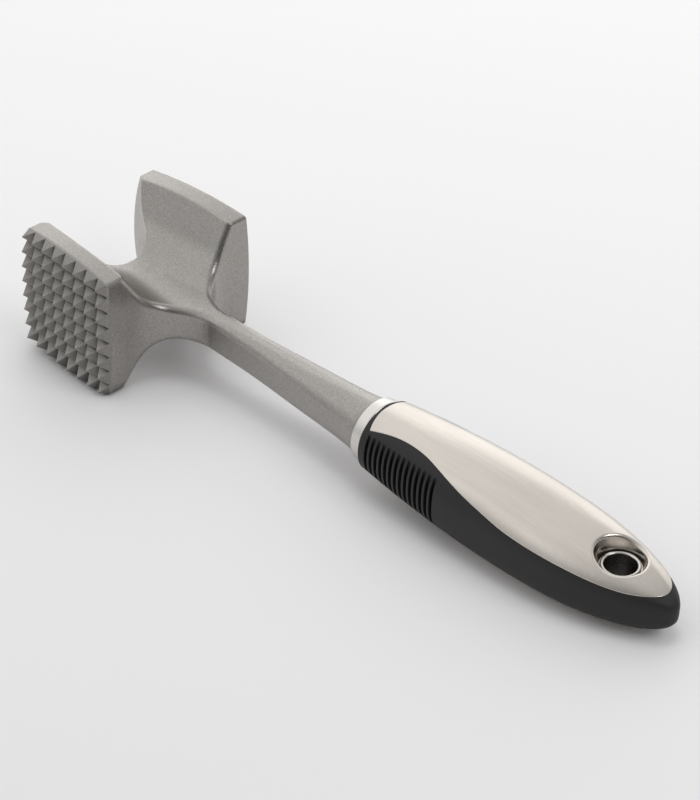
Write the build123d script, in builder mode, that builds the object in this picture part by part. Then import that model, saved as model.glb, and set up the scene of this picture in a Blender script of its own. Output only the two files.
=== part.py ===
from build123d import *
import math
import os

# Meat tenderizer, in millimetres and degrees. It is drawn straight and laid down on its side at the end:
# the shaft runs along X from the middle of the head, and the toothed face looks toward -Y.

# Head: two square plates with bowed sides, set closer together at the far end than at the handle
tooth_pitch = 6.35
teeth_per_side = 8
tooth_height = 4.1
edge_tooth_shift = 0.6
tooth_inset = 0.05
tooth_root = 1.5
face_crown = 1.2
plate_half = 24.0
plate_bow = 1.6
bow_turn = 18.0
plate_corner_r = 1.6
corner_lift = 0.22
toothed_reach = 31.4
smooth_reach = 32.2
wedge_angle = 4.36

# Waist: the hollow above and below it, the scoop at the far end and the neck into the shaft
waist_half = 6.7
waist_flat = 2.0
saddle_r = 19.0
saddle_angle = 56.0
scoop_at = -2.0
scoop_r = 17.3
scoop_reach = 28.0
scoop_angle_middle = 64.0
scoop_angle_ends = 50.0
neck_r = 20.5
neck_half = 4.3
neck_end = 47.0
ridge_r = 2.4
edge_tolerance = 0.4

# Shaft sections, as shares of its length and its end radius: place, half width, half height, corner radius
shaft_start = 40.0
shaft_end = 125.1
shaft_end_r = 11.0
shaft_section_shares = [
    (0.0, 0.382, 0.585, 0.209),
    (0.076, 0.393, 0.613, 0.223),
    (0.244, 0.409, 0.66, 0.282),
    (0.534, 0.573, 0.727, 0.436),
    (0.743, 0.727, 0.809, 0.636),
    (1.0, 1.0, 1.0, 0.98),
]

# Collar, and the spigot and tang behind the shaft
collar_front_r = 12.0
collar_rear_r = 12.6
collar_length = 4.8
collar_edge_r = 0.4
spigot_r = 8.0
tang_width = 9.0
tang_height = 12.0
tang_length = 75.0
tang_corner_r = 1.5
pin_shares = [0.27, 0.73]
pin_r = 2.0
pin_half = 10.0

# Handle: half widths and half heights at the front and the belly, and how they run between and to the tail
front_gap = 0.4
handle_length = 128.9
belly_place = 74.7
front_half_width = 13.7
belly_half_width = 17.3
front_half_height = 12.5
belly_half_height = 13.6
arch_rise = 1.67
flare_power = 1.9
tail_width_power = 1.14
tail_height_power = 0.6
tail_taper_share = 0.2
front_squareness = 2.27
squareness_gain = 0.98
front_step_shares = [1.0, 0.9, 0.75, 0.6, 0.45, 0.3, 0.15, 0.0]
tail_turns = [18.0, 34.0, 48.0, 60.0, 70.0, 78.0, 84.0, 88.0]
section_points = 16

# Covers: side outline in plan from the front corner, as shares of the handle's length and half width
shell_front = 0.6
shell_side_shares = [
    (0.0194, 0.618),
    (0.065, 0.575),
    (0.126, 0.54),
    (0.171, 0.551),
    (0.219, 0.597),
    (0.273, 0.688),
    (0.327, 0.775),
    (0.401, 0.858),
    (0.479, 0.913),
]
shell_half_width = 16.3
shell_tail_gap = 4.8
lower_narrowing = 3.0
shell_thick = 1.0
shell_proud = 0.15
grip_thick = 3.2
bond_gap = 0.05
seat_gap = 0.1

# Fins in the sides of the grip
fin_count = 14
fin_start = 3.9
fin_pitch = 2.5
fin_slot = 1.5
fin_depth = 2.1

# Hanging hole: dish in the covers and the eyelet
hole_from_tail = 24.2
hole_r = 5.5
eyelet_wall = 0.6
eyelet_rim = 0.65
dish_r = 9.9
dish_floor_r = 7.3
dish_floor = 5.7
dish_top = 14.0
dish_edge_r = 1.2

overrun = 20.0


def wedge_shift(x):
    return x * math.tan(math.radians(wedge_angle))


# Cutter for the hollows between the plates, above and below the waist
saddle_x = (-math.sin(math.radians(wedge_angle)), math.cos(math.radians(wedge_angle)), 0)
saddle_z = (math.cos(math.radians(wedge_angle)), math.sin(math.radians(wedge_angle)), 0)
saddle_plane = Plane(origin=(0, 0, 0), x_dir=saddle_x, z_dir=saddle_z)
saddle_top = plate_half + overrun
with BuildPart() as saddle:
    with BuildSketch(saddle_plane):
        with BuildLine():
            flat = Line((-saddle_r, waist_half), (waist_flat, waist_half))
            bend = JernArc(flat @ 1, (1, 0), saddle_r, saddle_angle)
            rise = (saddle_top - (bend @ 1).Y) / math.tan(math.radians(saddle_angle))
            wall = Line(bend @ 1, ((bend @ 1).X + rise, saddle_top))
            Polyline(wall @ 1, (-saddle_r, saddle_top), flat @ 0)
        make_face()
    extrude(amount=neck_end + overrun, both=True)
    split(bisect_by=Plane.XZ, keep=Keep.BOTTOM)
    mirror(about=Plane.XZ)
    mirror(about=Plane.XY)

# Cutter for the scoop at the far end, narrower at mid height than at its ends
scoop_angles = [scoop_angle_ends, scoop_angle_middle, scoop_angle_ends]
with BuildPart() as scoop:
    for height, angle in zip((-scoop_reach, 0, scoop_reach), scoop_angles):
        with BuildSketch(Plane.XY.offset(height)):
            with BuildLine():
                bowl = JernArc((scoop_at, 0), (0, 1), scoop_r, angle)
                side = PolarLine(bowl @ 1, plate_half + overrun, direction=bowl % 1)
                Polyline(side @ 1, ((side @ 1).X, 0), bowl @ 0)
            make_face()
    loft()
    mirror(about=Plane.XZ)

# Plates, waist and neck: the plan is turned about a far axis, so that the handle side bows like the others
plate_mid = plate_half + plate_bow
bow_r = (plate_half**2 + plate_bow**2) / (2 * plate_bow)
bow_axis = Axis((plate_mid - bow_r, 0, 0), (0, 1, 0))
block_y = smooth_reach + overrun
neck_y = neck_half + neck_r
corner_at = plate_half + corner_lift - plate_corner_r


def is_ridge(point):
    above_waist = abs(point.Z) > waist_half - edge_tolerance
    along_neck = plate_half < point.X < neck_end - edge_tolerance
    return above_waist and along_neck and neck_half - edge_tolerance < abs(point.Y) < neck_y + edge_tolerance


# Cutter that rounds the four corners of the plates
with BuildPart() as corners:
    with BuildSketch(Plane.XZ):
        with Locations((corner_at, corner_at)):
            Rectangle(overrun, overrun, align=(Align.MIN, Align.MIN))
            Circle(plate_corner_r, mode=Mode.SUBTRACT)
    extrude(amount=block_y, both=True)
    mirror(about=Plane.YZ)
    mirror(about=Plane.XY)

with BuildPart() as head:
    with BuildSketch():
        with BuildLine():
            Polyline(
                (-plate_mid - overrun, 0),
                (-plate_mid - overrun, block_y),
                (plate_mid, block_y),
                (plate_mid, neck_y),
            )
            neck = JernArc((plate_mid, neck_y), (0, -1), neck_r, 90)
            Polyline(neck @ 1, (neck_end, neck_half), (neck_end, 0), (-plate_mid - overrun, 0))
        make_face()
        mirror(about=Plane.XZ)
    revolve(axis=bow_axis, revolution_arc=bow_turn)
    mirror(about=Plane.XY)
    with BuildSketch(Plane.XZ):
        with BuildLine():
            ThreePointArc((-plate_half, -plate_half), (-plate_mid, 0), (-plate_half, plate_half))
            top = ThreePointArc((-plate_half, plate_half), (0, plate_mid), (plate_half, plate_half))
            Polyline(top @ 1, (neck_end, plate_half), (neck_end, -plate_half), (plate_half, -plate_half))
            ThreePointArc((plate_half, -plate_half), (0, -plate_mid), (-plate_half, -plate_half))
        make_face()
    extrude(amount=block_y, both=True, mode=Mode.INTERSECT)
    with BuildSketch():
        Polygon(
            (-neck_end, -toothed_reach + wedge_shift(neck_end)),
            (neck_end, -toothed_reach - wedge_shift(neck_end)),
            (neck_end, smooth_reach + wedge_shift(neck_end)),
            (-neck_end, smooth_reach - wedge_shift(neck_end)),
            align=None,
        )
    extrude(amount=block_y, both=True, mode=Mode.INTERSECT)
    add(saddle.part, mode=Mode.SUBTRACT)
    add(scoop.part, mode=Mode.SUBTRACT)
    fillet(head.edges().filter_by(lambda edge: is_ridge(edge @ 0.5)), radius=ridge_r)
    add(corners.part, mode=Mode.SUBTRACT)


# Teeth: pyramids on a slightly crowned face, with the outer rows reaching to the bowed sides
tooth_x = (math.cos(math.radians(wedge_angle)), -math.sin(math.radians(wedge_angle)), 0)
tooth_z = (-math.sin(math.radians(wedge_angle)), -math.cos(math.radians(wedge_angle)), 0)
tooth_plane = Plane(origin=(0, -toothed_reach, 0), x_dir=tooth_x, z_dir=tooth_z)
tooth_corner = corner_at + plate_corner_r * math.cos(math.radians(45)) - tooth_inset


def bow_at(across):
    return 1 - (across / plate_half) ** 2


def face_point(u, v, above):
    crown = face_crown * (bow_at(u) + bow_at(v)) / 2
    return tooth_plane.from_local_coords(Vector(u, v, crown + above))


def base_place(i, j):
    u = (i - teeth_per_side / 2) * tooth_pitch
    v = (j - teeth_per_side / 2) * tooth_pitch
    on_u = i in (0, teeth_per_side)
    on_v = j in (0, teeth_per_side)
    if on_u and on_v:
        return math.copysign(tooth_corner, u), math.copysign(tooth_corner, v)
    if on_u:
        return math.copysign(plate_half + plate_bow * bow_at(v) - tooth_inset, u), v
    if on_v:
        return u, math.copysign(plate_half + plate_bow * bow_at(u) - tooth_inset, v)
    return u, v


def tip_place(i, j):
    u = (i + 0.5 - teeth_per_side / 2) * tooth_pitch
    v = (j + 0.5 - teeth_per_side / 2) * tooth_pitch
    last = teeth_per_side - 1
    shift_u = math.copysign(edge_tooth_shift * bow_at(v), u) if i in (0, last) else 0
    shift_v = math.copysign(edge_tooth_shift * bow_at(u), v) if j in (0, last) else 0
    return u + shift_u, v + shift_v


def tooth_field():
    faces = []
    for i in range(teeth_per_side):
        for j in range(teeth_per_side):
            tip = face_point(*tip_place(i, j), tooth_height)
            places = [(i, j), (i + 1, j), (i + 1, j + 1), (i, j + 1)]
            base = [face_point(*base_place(*place), 0) for place in places]
            for k in range(len(base)):
                faces.append(Face(Wire.make_polygon([base[k - 1], base[k], tip])))
    steps = range(teeth_per_side)
    rim = [(k, 0) for k in steps] + [(teeth_per_side, k) for k in steps]
    rim += [(teeth_per_side - k, teeth_per_side) for k in steps] + [(0, teeth_per_side - k) for k in steps]
    upper = [face_point(*base_place(*place), 0) for place in rim]
    lower = [tooth_plane.from_local_coords(Vector(*base_place(*place), -tooth_root)) for place in rim]
    for k in range(len(rim)):
        faces.append(Face(Wire.make_polygon([upper[k - 1], upper[k], lower[k], lower[k - 1]])))
    faces.append(Face(Wire.make_polygon(lower)))
    return Solid(Shell(faces))


teeth = tooth_field()

# Head with its teeth, shaft, spigot and tang
collar_end = shaft_end + collar_length
tang_end = collar_end + tang_length
pin_places = [collar_end + share * tang_length for share in pin_shares]
with BuildPart() as head_casting:
    add(head.part)
    for along, across, up, corner in shaft_section_shares:
        with BuildSketch(Plane.YZ.offset(shaft_start + along * (shaft_end - shaft_start))):
            RectangleRounded(2 * across * shaft_end_r, 2 * up * shaft_end_r, corner * shaft_end_r)
    loft()
    add(teeth)
    with BuildSketch(Plane.YZ.offset(shaft_end)):
        Circle(spigot_r)
    extrude(amount=collar_length)
    with BuildSketch(Plane.YZ.offset(collar_end)):
        RectangleRounded(tang_width, tang_height, tang_corner_r)
    extrude(amount=tang_length)
    with BuildSketch(Plane.XZ):
        with Locations([(place, 0) for place in pin_places]):
            Circle(pin_r)
    extrude(amount=overrun, both=True, mode=Mode.SUBTRACT)
head_casting.part.label = "head_casting"

# Collar, a tapered ring on the spigot
with BuildPart() as collar:
    with BuildSketch(Plane.XZ) as collar_section:
        Polygon(
            (shaft_end, spigot_r + bond_gap),
            (shaft_end, collar_front_r),
            (collar_end, collar_rear_r),
            (collar_end, spigot_r + bond_gap),
            align=None,
        )
        fillet(collar_section.vertices().group_by(Axis.Y)[1:], radius=collar_edge_r)
    revolve(axis=Axis.X)
collar.part.label = "collar"

# Handle: sections are superellipses, given by place, half width and half height
handle_front = collar_end + front_gap
belly_at = handle_front + belly_place
tail_length = handle_length - belly_place
shell_tail = tail_length - shell_tail_gap
hole_at = handle_front + handle_length - hole_from_tail
cover_bottom = dish_floor - shell_thick


def section_ring(half_width, half_height, power):
    points = []
    for k in range(section_points):
        across = math.cos(2 * math.pi * k / section_points)
        up = math.sin(2 * math.pi * k / section_points)
        reach = (abs(across / half_width) ** power + abs(up / half_height) ** power) ** (-1 / power)
        points.append((reach * across, reach * up))
    steps = [k / section_points for k in range(section_points + 1)]
    return Edge.make_spline(points, periodic=True, parameters=steps)


def squareness_at(along):
    return front_squareness + squareness_gain * math.sin(math.radians(90 * along / handle_length))


def handle_sections(inset, side_inset=0, rise=0):
    rows = []
    for share in front_step_shares:
        along = belly_place * (1 - share)
        half_width = belly_half_width - (belly_half_width - front_half_width) * share**flare_power
        half_height = belly_half_height - (belly_half_height - front_half_height) * share
        half_height += 4 * arch_rise * share * (1 - share)
        rows.append((along, half_width - inset - side_inset, half_height - inset + rise))
    for turn in tail_turns:
        reach = math.sin(math.radians(turn))
        closing = math.cos(math.radians(turn))
        half_width = (belly_half_width - inset - side_inset) * closing**tail_width_power
        half_height = (belly_half_height - inset + rise) * closing**tail_height_power
        half_height *= 1 - tail_taper_share * reach
        rows.append((belly_place + (tail_length - inset) * reach, half_width, half_height))
    return rows


def handle_form(inset, side_inset=0, rise=0):
    with BuildPart() as form:
        for along, half_width, half_height in handle_sections(inset, side_inset, rise):
            with BuildSketch(Plane.YZ.offset(handle_front + along)):
                with BuildLine():
                    add(section_ring(half_width, half_height, squareness_at(along)))
                make_face()
        loft()
    return form.part


def cover_block(margin, narrowing=0):
    inward = margin - narrowing
    front = (handle_front + shell_front - margin, 0)
    side = [
        (handle_front + along * handle_length - margin, across * belly_half_width + inward)
        for along, across in shell_side_shares
    ]
    belly = (belly_at, shell_half_width + inward)
    with BuildPart() as block:
        with BuildSketch(Plane.XY.offset(cover_bottom - margin)):
            with BuildLine():
                TangentArc(front, side[0], tangent=(0, 1))
                Spline(*side, belly, tangents=((side[1][0] - side[0][0], side[1][1] - side[0][1]), (1, 0)))
                end = EllipticalCenterArc((belly_at, 0), shell_tail + inward, belly[1], arc_size=90)
                Line(end @ 0, front)
            make_face()
            mirror(about=Plane.XZ)
        extrude(amount=dish_top + overrun)
    return block.part


def dish_form(wall, gap):
    floor = dish_floor - wall - gap
    slope = (dish_r - dish_floor_r) / (dish_top - dish_floor)
    floor_r = dish_floor_r + wall + gap
    with BuildPart() as form:
        with BuildSketch(Plane.XZ):
            Polygon(
                (hole_at, floor),
                (hole_at + floor_r, floor),
                (hole_at + floor_r + slope * (dish_top - floor), dish_top),
                (hole_at, dish_top),
                align=None,
            )
        revolve(axis=Axis((hole_at, 0, 0), (0, 0, 1)))
    return form.part


outer_form = handle_form(0)
cover_form = handle_form(shell_thick)
seat_form = handle_form(shell_thick + bond_gap)
grip_form = handle_form(shell_proud)
slot_form = handle_form(shell_proud, fin_depth, overrun)
core_form = handle_form(grip_thick + bond_gap)
bed_form = handle_form(grip_thick)
eyelet_r = hole_r + eyelet_wall


def cover(narrowing):
    with BuildPart() as hollow:
        add(cover_form)
        add(dish_form(shell_thick, 0), mode=Mode.SUBTRACT)
    with BuildPart() as shell:
        add(outer_form)
        add(dish_form(0, 0), mode=Mode.SUBTRACT)
        split(bisect_by=Plane.XZ, keep=Keep.BOTTOM)
        lip = shell.edges().filter_by(GeomType.BSPLINE).sort_by_distance((hole_at, 0, dish_top))[0]
        fillet(lip, radius=dish_edge_r)
        add(hollow.part, mode=Mode.SUBTRACT)
        add(cover_block(0, narrowing), mode=Mode.INTERSECT)
        with BuildSketch():
            with Locations((hole_at, 0)):
                Circle(eyelet_r + seat_gap)
        extrude(amount=dish_top, mode=Mode.SUBTRACT)
        mirror(about=Plane.XZ)
    return shell.part


# Steel cover on top of the handle, and a narrower one under it
with BuildPart() as top_shell:
    add(cover(0))
top_shell.part.label = "top_shell"
with BuildPart() as bottom_shell:
    mirror(cover(lower_narrowing), about=Plane.XY)
bottom_shell.part.label = "bottom_shell"

# Core: fills the handle under the covers and the soft grip, and takes the tang
with BuildPart() as hanging_room:
    add(dish_form(shell_thick, bond_gap))
    mirror(about=Plane.XY)
    with BuildSketch():
        with Locations((hole_at, 0)):
            Circle(eyelet_r + seat_gap)
    extrude(amount=dish_top, both=True)
with BuildPart() as upper_seat:
    add(seat_form)
    add(cover_block(-bond_gap), mode=Mode.INTERSECT)
with BuildPart() as lower_seat:
    add(seat_form)
    mirror(cover_block(-bond_gap, lower_narrowing), about=Plane.XY, mode=Mode.INTERSECT)
with BuildPart() as handle_core:
    add(core_form)
    add(upper_seat.part)
    add(lower_seat.part)
    add(hanging_room.part, mode=Mode.SUBTRACT)
    with BuildSketch(Plane.YZ.offset(handle_front)):
        RectangleRounded(tang_width + 2 * seat_gap, tang_height + 2 * seat_gap, tang_corner_r)
    extrude(amount=tang_end + seat_gap - handle_front, mode=Mode.SUBTRACT)
    with BuildSketch(Plane.XZ):
        with Locations([(place, 0) for place in pin_places]):
            Circle(pin_r)
    extrude(amount=pin_half, both=True, mode=Mode.SUBTRACT)
handle_core.part.label = "handle_core"

# Two cross pins through the tang
with BuildPart() as tang_pins:
    with BuildSketch(Plane.XZ):
        with Locations([(place, 0) for place in pin_places]):
            Circle(pin_r)
    extrude(amount=pin_half, both=True)
tang_pins.part.label = "tang_pins"

# Soft grip: two sides joined round the tail and at the collar, with fins that run out below the covers
fin_places = [handle_front + fin_start + k * fin_pitch for k in range(fin_count)]
with BuildPart() as fin_slots:
    with Locations([(place, 0, 0) for place in fin_places]):
        Box(fin_slot, 2 * belly_half_width + overrun, 2 * belly_half_height + overrun)
    add(slot_form, mode=Mode.SUBTRACT)
with BuildPart() as soft_grip:
    add(grip_form)
    add(bed_form, mode=Mode.SUBTRACT)
    add(cover_block(bond_gap), mode=Mode.SUBTRACT)
    mirror(cover_block(bond_gap, lower_narrowing), about=Plane.XY, mode=Mode.SUBTRACT)
    add(fin_slots.part, mode=Mode.SUBTRACT)
soft_grip.part.label = "soft_grip"

# Eyelet: a barrel with a rolled rim on top, closed over a ring underneath
with BuildPart() as eyelet_barrel:
    with BuildSketch(Plane.XZ) as barrel_section:
        with Locations((hole_at + hole_r, -dish_floor - 2 * eyelet_rim)):
            Rectangle(eyelet_wall, 2 * dish_floor + 2 * eyelet_rim, align=(Align.MIN, Align.MIN))
        with Locations((hole_at + hole_r, dish_floor)):
            Rectangle(eyelet_wall + eyelet_rim, 2 * eyelet_rim, align=(Align.MIN, Align.MIN))
        fillet(barrel_section.vertices().group_by(Axis.Y)[-1], radius=eyelet_rim - bond_gap)
    revolve(axis=Axis((hole_at, 0, 0), (0, 0, 1)))
eyelet_barrel.part.label = "eyelet_barrel"
with BuildPart() as eyelet_ring:
    with BuildSketch(Plane.XZ):
        with Locations((hole_at + eyelet_r + bond_gap, -dish_floor)):
            Rectangle(eyelet_rim, 2 * eyelet_rim, align=(Align.MIN, Align.MAX))
    revolve(axis=Axis((hole_at, 0, 0), (0, 0, 1)))
eyelet_ring.part.label = "eyelet_ring"


def touching_angle(place, half_height):
    below = half_height + bow_r - plate_mid
    return math.degrees(math.atan2(place, below) - math.acos(bow_r / math.hypot(place, below)))


# Lying at rest on the bowed lower sides of the plates and the handle, bottom centre at the origin
rest_angle = min(touching_angle(handle_front + along, height) for along, _, height in handle_sections(0))
pieces = [head_casting, collar, handle_core, tang_pins, soft_grip]
pieces += [top_shell, bottom_shell, eyelet_barrel, eyelet_ring]
laid = [Rotation(0, rest_angle, 0) * piece.part for piece in pieces]
box = Compound(children=laid).bounding_box()
lay_down = Location((-box.center().X, -box.center().Y, -box.min.Z)) * Rotation(0, rest_angle, 0)
os.makedirs("parts", exist_ok=True)
for piece in pieces:
    piece.part.move(lay_down)
    export_step(piece.part, f"parts/{piece.part.label}.step")
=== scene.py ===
import math

import bpy
from mathutils import Matrix, Vector

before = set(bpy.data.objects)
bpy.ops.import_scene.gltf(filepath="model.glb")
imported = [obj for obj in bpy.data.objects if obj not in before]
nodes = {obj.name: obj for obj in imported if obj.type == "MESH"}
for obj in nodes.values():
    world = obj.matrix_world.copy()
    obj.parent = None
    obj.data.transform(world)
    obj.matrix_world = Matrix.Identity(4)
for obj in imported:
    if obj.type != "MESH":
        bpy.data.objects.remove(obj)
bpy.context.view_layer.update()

scene = bpy.context.scene

# The tool's own frame: shaft along X from the middle of the head. It lies on the table turned about Y.
REST_ANGLE = math.radians(3.436984)
REST_PLACE = Vector((-0.116379, 0.001858, 0.025896))
LAY_DOWN = Matrix.Translation(REST_PLACE) @ Matrix.Rotation(REST_ANGLE, 4, "Y")

# The plate with teeth leans by this angle. Measured out along it, edges turn crisp and sides turn darker
# here, a shade painted onto the teeth.
WEDGE_ANGLE = math.radians(4.36)
CRISP_FROM = (0.0302, 0.0316)
TEETH_PAINTED_SHADE_FROM = (0.0306, 0.032)
RIDGE_TO_TOOTH_RADIUS = (0.0012, 0.0005)

# Noise scales along and across the tool
BRUSHED = (14, 1800, 1800)
SMUDGED = (25, 60, 60)
TURNED = (3500, 30, 30)

# Colours
CAST_DARK, CAST_PALE = (0.25, 0.24, 0.226), (0.43, 0.411, 0.389)
# The teeth and hollow colours are painted shade; the edge colour is wear plus a painted highlight.
CAST_TEETH_PAINTED_SHADE, CAST_PAINTED_SHADE, CAST_WORN_AND_HIGHLIT = (0.15, 0.145, 0.137), (0.07, 0.067, 0.063), (0.6, 0.575, 0.545)
STEEL_DARK, STEEL_PALE, STEEL_SMUDGE = (0.56, 0.522, 0.478), (0.66, 0.615, 0.563), (0.48, 0.448, 0.41)
BRIGHT_DARK, BRIGHT_PALE = (0.58, 0.562, 0.535), (0.74, 0.717, 0.683)
# The deep eyelet colour is painted shade inside the hole
EYELET_PAINTED_SHADE, EYELET_OPEN = (0.08, 0.075, 0.068), (0.66, 0.64, 0.61)
GRIP_DARK, GRIP_PALE = (0.012, 0.012, 0.0122), (0.019, 0.0188, 0.0185)
CORE_DARK, CORE_PALE = (0.016, 0.016, 0.016), (0.024, 0.024, 0.024)
TABLE_NEAR, TABLE_FAR = (0.76, 0.75, 0.755), (0.98, 0.975, 0.975)

# Table: half its side, the way the camera looks over it, and where it turns paler along that way, a light
# falloff painted into its colour
TABLE_HALF = 3.0
VIEW_HEADING = Vector((-0.711, 0.703, 0))
PALER_FROM = (-0.17, 0.37)

# Lamps that shine on the origin: place, side, power, and whether reflections show it
LAMPS = {
    "right_front": ((1.5, 0.4, 1.57), 0.9, 9, True),
    "overhead": ((0.05, 0.05, 1.5), 0.4, 2.4, False),
    "right_fill": ((1.3, -0.25, 1.25), 0.5, 3.2, False),
}

# Sky: azimuth, elevation, narrowness and level of each glow, and the height where the backdrop ends
HEAD_GLOW = (165, 37, 2.4, 0.98)
LEFT_GLOW = (238, 38, 20, 0.35)
BACKDROP_GLOW = (120, 15, 8, 0.75)
BACKDROP_END = (0.57, 0.66)
SKY_LEVEL = 0.14

# Camera, fitted in the tool's own frame
AZIMUTH, ELEVATION, ROLL = (math.radians(a) for a in (43.6091, 36.4415, 2.2638))
VIEW_DISTANCE, VIEW_X, VIEW_Y = 0.964769, 0.079988, -0.044992
LENS, SENSOR_WIDTH = 117, 36

SHADER_SAMPLES = 6


# Shader helpers
def feed(tree, socket, value):
    if isinstance(value, bpy.types.NodeSocket):
        tree.links.new(value, socket)
    else:
        socket.default_value = value


def add_node(tree, kind, **inputs):
    node = tree.nodes.new(kind)
    for key, value in inputs.items():
        feed(tree, node.inputs[key.replace("_", " ")], value)
    return node


def new_material(name, base, metallic, roughness):
    mat = bpy.data.materials.new(name)
    mat.use_nodes = True
    bsdf = mat.node_tree.nodes["Principled BSDF"]
    bsdf.inputs["Base Color"].default_value = (*base, 1)
    bsdf.inputs["Metallic"].default_value = metallic
    bsdf.inputs["Roughness"].default_value = roughness
    return mat, mat.node_tree, bsdf


def tool_coords(tree, scale=(1, 1, 1)):
    coords = tree.nodes.new("ShaderNodeTexCoord")
    mapping = add_node(
        tree,
        "ShaderNodeMapping",
        Vector=coords.outputs["Object"],
        Location=REST_PLACE,
        Rotation=(0, REST_ANGLE, 0),
        Scale=[1 / s for s in scale],
    )
    mapping.vector_type = "TEXTURE"
    return mapping.outputs["Vector"]


def noise(tree, vector, scale=1.0, detail=2.0, rough=0.5):
    node = add_node(tree, "ShaderNodeTexNoise", Vector=vector, Scale=scale, Detail=detail, Roughness=rough)
    return node.outputs["Fac"]


def ranged(tree, value, source, target):
    node = add_node(tree, "ShaderNodeMapRange", Value=value)
    node.inputs["From Min"].default_value, node.inputs["From Max"].default_value = source
    node.inputs["To Min"].default_value, node.inputs["To Max"].default_value = target
    return node.outputs["Result"]


def mixed(tree, factor, first, second):
    node = add_node(tree, "ShaderNodeMix", Factor=factor)
    node.data_type = "RGBA"
    sockets = {s.identifier: s for s in node.inputs}
    for name, color in (("A_Color", first), ("B_Color", second)):
        feed(tree, sockets[name], color if isinstance(color, bpy.types.NodeSocket) else (*color, 1))
    return next(s for s in node.outputs if s.identifier == "Result_Color")


def combined(tree, kind, operation, first, second):
    node = tree.nodes.new(kind)
    node.operation = operation
    for socket, value in zip(node.inputs, (first, second)):
        feed(tree, socket, value)
    return node.outputs["Value"]


def dotted(tree, first, second):
    return combined(tree, "ShaderNodeVectorMath", "DOT_PRODUCT", first, second)


def soft_edges(tree, radius):
    node = add_node(tree, "ShaderNodeBevel", Radius=radius)
    node.samples = SHADER_SAMPLES
    return node.outputs["Normal"]


# Occlusion amount, which the materials use to paint shade into their colours
def occlusion_for_painted_shade(tree, distance):
    node = add_node(tree, "ShaderNodeAmbientOcclusion", Distance=distance)
    node.samples = SHADER_SAMPLES
    return node.outputs["AO"]


def surface(tree, bsdf, color, roughness, height, strength, depth, edges):
    bump = add_node(tree, "ShaderNodeBump", Height=height, Strength=strength, Distance=depth, Normal=edges)
    tree.links.new(color, bsdf.inputs["Base Color"])
    tree.links.new(roughness, bsdf.inputs["Roughness"])
    tree.links.new(bump.outputs["Normal"], bsdf.inputs["Normal"])


# Materials
def cast_metal():
    mat, tree, bsdf = new_material("cast_metal", base=(0.34, 0.326, 0.308), metallic=0.95, roughness=0.32)
    where = tool_coords(tree)
    grain = noise(tree, where, scale=1700.0, detail=4.0, rough=0.75)
    cloud = noise(tree, where, scale=60.0, detail=3.0, rough=0.55)
    # Well-rounded ridges, and crisp teeth with darker sides, where the darkening is painted shade
    outward = dotted(tree, where, (-math.tan(WEDGE_ANGLE), -1, 0))
    # Painted shade: the face with teeth turns darker out along the wedge
    teeth_painted_shade = ranged(tree, outward, TEETH_PAINTED_SHADE_FROM, (0, 0.5))
    edges = soft_edges(tree, ranged(tree, outward, CRISP_FROM, RIDGE_TO_TOOTH_RADIUS))
    geometry = tree.nodes.new("ShaderNodeNewGeometry")
    # Lighter edges: wear on the metal and a painted highlight along rounded ridges
    wear_and_painted_highlight = ranged(tree, dotted(tree, edges, geometry.outputs["Normal"]), (0.8, 0.99), (0.5, 0))
    # Painted shade: darker where occlusion closes in, in hollow places and between teeth
    clear_of_painted_shade = ranged(tree, occlusion_for_painted_shade(tree, distance=0.004), (0.35, 1), (0, 1))
    color = mixed(tree, ranged(tree, grain, (0.3, 0.7), (0, 1)), CAST_DARK, CAST_PALE)
    # The colour takes painted shade on the teeth and in hollow places, and wear with a painted highlight on
    # edges
    color = mixed(tree, teeth_painted_shade, color, CAST_TEETH_PAINTED_SHADE)
    color = mixed(tree, clear_of_painted_shade, CAST_PAINTED_SHADE, color)
    color = mixed(tree, wear_and_painted_highlight, color, CAST_WORN_AND_HIGHLIT)
    roughness = ranged(tree, cloud, (0.3, 0.7), (0.24, 0.32))
    surface(tree, bsdf, color, roughness, grain, strength=0.3, depth=0.0001, edges=edges)
    return mat


def satin_steel():
    mat, tree, bsdf = new_material("satin_steel", base=(0.6, 0.558, 0.51), metallic=1.0, roughness=0.2)
    lines = noise(tree, tool_coords(tree, BRUSHED), detail=4.0, rough=0.6)
    smudge = noise(tree, tool_coords(tree, SMUDGED), detail=3.0, rough=0.5)
    color = mixed(tree, lines, STEEL_DARK, STEEL_PALE)
    color = mixed(tree, ranged(tree, smudge, (0.4, 0.75), (0, 0.4)), color, STEEL_SMUDGE)
    roughness = ranged(tree, smudge, (0.3, 0.7), (0.14, 0.24))
    edges = soft_edges(tree, radius=0.00035)
    surface(tree, bsdf, color, roughness, lines, strength=0.07, depth=0.00005, edges=edges)
    return mat


def bright_steel():
    mat, tree, bsdf = new_material("bright_steel", base=(0.66, 0.64, 0.61), metallic=1.0, roughness=0.24)
    lines = noise(tree, tool_coords(tree, TURNED), detail=3.0, rough=0.6)
    color = mixed(tree, lines, BRIGHT_DARK, BRIGHT_PALE)
    roughness = ranged(tree, lines, (0, 1), (0.18, 0.32))
    edges = soft_edges(tree, radius=0.0003)
    surface(tree, bsdf, color, roughness, lines, strength=0.08, depth=0.00005, edges=edges)
    return mat


def eyelet_steel():
    mat, tree, bsdf = new_material("eyelet_steel", base=(0.64, 0.618, 0.59), metallic=1.0, roughness=0.24)
    fine = noise(tree, tool_coords(tree), scale=900.0, detail=3.0, rough=0.6)
    # Painted shade: darker deep inside the hole, by occlusion
    clear_of_painted_shade = ranged(tree, occlusion_for_painted_shade(tree, distance=0.012), (0.2, 0.7), (0, 1))
    color = mixed(tree, clear_of_painted_shade, EYELET_PAINTED_SHADE, EYELET_OPEN)
    roughness = ranged(tree, fine, (0, 1), (0.18, 0.32))
    edges = soft_edges(tree, radius=0.0003)
    surface(tree, bsdf, color, roughness, fine, strength=0.08, depth=0.00005, edges=edges)
    return mat


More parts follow.
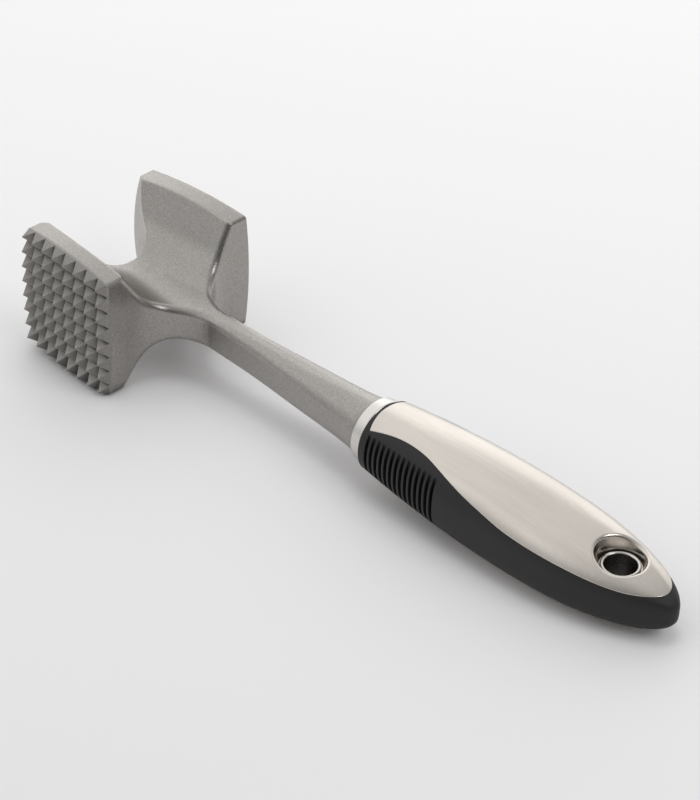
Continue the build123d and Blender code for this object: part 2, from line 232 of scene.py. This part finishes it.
def soft_black():
    mat, tree, bsdf = new_material("soft_black", base=(0.014, 0.014, 0.014), metallic=0.0, roughness=0.55)
    bsdf.inputs["Specular IOR Level"].default_value = 0.36
    where = tool_coords(tree)
    fine = noise(tree, where, scale=3200.0, detail=2.0, rough=0.6)
    wide = noise(tree, where, scale=90.0, detail=3.0, rough=0.5)
    color = mixed(tree, wide, GRIP_DARK, GRIP_PALE)
    roughness = ranged(tree, fine, (0, 1), (0.46, 0.62))
    edges = soft_edges(tree, radius=0.0004)
    surface(tree, bsdf, color, roughness, fine, strength=0.25, depth=0.00006, edges=edges)
    return mat


def core_plastic():
    mat, tree, bsdf = new_material("core_plastic", base=(0.02, 0.02, 0.02), metallic=0.0, roughness=0.5)
    fine = noise(tree, tool_coords(tree), scale=1800.0, detail=2.0, rough=0.5)
    color = mixed(tree, fine, CORE_DARK, CORE_PALE)
    roughness = ranged(tree, fine, (0, 1), (0.42, 0.58))
    edges = soft_edges(tree, radius=0.0003)
    surface(tree, bsdf, color, roughness, fine, strength=0.2, depth=0.00006, edges=edges)
    return mat


def dress(material, *names):
    for name in names:
        mesh = nodes[name].data
        mesh.materials.clear()
        mesh.materials.append(material)


dress(cast_metal(), "head_casting")
dress(satin_steel(), "top_shell", "bottom_shell")
dress(bright_steel(), "collar", "tang_pins")
dress(eyelet_steel(), "eyelet_barrel", "eyelet_ring")
dress(soft_black(), "soft_grip")
dress(core_plastic(), "handle_core")

# Table, paler away from the camera: a light falloff painted into its colour
table_mat, tree, bsdf = new_material("table", base=(0.8, 0.79, 0.795), metallic=0.0, roughness=0.7)
coords = tree.nodes.new("ShaderNodeTexCoord")
away = ranged(tree, dotted(tree, coords.outputs["Object"], VIEW_HEADING), PALER_FROM, (0, 1))
tree.links.new(mixed(tree, away, TABLE_NEAR, TABLE_FAR), bsdf.inputs["Base Color"])
corners = [(x * TABLE_HALF, y * TABLE_HALF, 0) for x, y in ((-1, -1), (1, -1), (1, 1), (-1, 1))]
mesh = bpy.data.meshes.new("table")
mesh.from_pydata(corners, [], [(0, 1, 2, 3)])
floor = bpy.data.objects.new("table", mesh)
scene.collection.objects.link(floor)
mesh.materials.append(table_mat)

# Lamps
for name, (place, side, power, in_reflections) in LAMPS.items():
    data = bpy.data.lights.new(name, "AREA")
    data.size = side
    data.energy = power
    lamp = bpy.data.objects.new(name, data)
    scene.collection.objects.link(lamp)
    lamp.location = place
    lamp.rotation_euler = (-Vector(place)).to_track_quat("-Z", "Y").to_euler()
    lamp.visible_glossy = in_reflections

# Sky: a wide glow behind the head and a bright backdrop behind the tool, dim on the camera's side
world = bpy.data.worlds.new("studio")
scene.world = world
world.use_nodes = True
tree = world.node_tree
background = tree.nodes["Background"]
background.inputs["Color"].default_value = (1, 1, 1, 1)
toward = tree.nodes.new("ShaderNodeTexCoord").outputs["Generated"]


def sum_of(first, second):
    return combined(tree, "ShaderNodeMath", "ADD", first, second)


def product_of(first, second):
    return combined(tree, "ShaderNodeMath", "MULTIPLY", first, second)


def glow(azimuth, elevation, narrowness, level):
    a, e = math.radians(azimuth), math.radians(elevation)
    middle = (math.cos(a) * math.cos(e), math.sin(a) * math.cos(e), math.sin(e))
    facing = ranged(tree, dotted(tree, toward, middle), (-1, 1), (0, 1))
    return product_of(combined(tree, "ShaderNodeMath", "POWER", facing, narrowness), level)


height = add_node(tree, "ShaderNodeSeparateXYZ", Vector=toward).outputs["Z"]
backdrop = product_of(glow(*BACKDROP_GLOW), ranged(tree, height, BACKDROP_END, (1, 0)))
sky = sum_of(sum_of(sum_of(glow(*HEAD_GLOW), glow(*LEFT_GLOW)), backdrop), SKY_LEVEL)
tree.links.new(sky, background.inputs["Strength"])

# Camera
right = Vector((math.cos(AZIMUTH), math.sin(AZIMUTH), 0))
level = Vector((math.sin(AZIMUTH), -math.cos(AZIMUTH), 0))
back = math.cos(ELEVATION) * level + math.sin(ELEVATION) * Vector((0, 0, 1))
up = back.cross(right)
cam_right = math.cos(ROLL) * right + math.sin(ROLL) * up
cam_up = math.cos(ROLL) * up - math.sin(ROLL) * right
place = VIEW_X * cam_right + VIEW_Y * cam_up + VIEW_DISTANCE * back
pose = Matrix((
    (cam_right.x, cam_up.x, back.x, place.x),
    (cam_right.y, cam_up.y, back.y, place.y),
    (cam_right.z, cam_up.z, back.z, place.z),
    (0, 0, 0, 1),
))
cam_data = bpy.data.cameras.new("camera")
cam_data.lens = LENS
cam_data.sensor_width = SENSOR_WIDTH
camera = bpy.data.objects.new("camera", cam_data)
scene.collection.objects.link(camera)
camera.matrix_world = LAY_DOWN @ pose
scene.camera = camera

scene.view_settings.view_transform = "Standard"
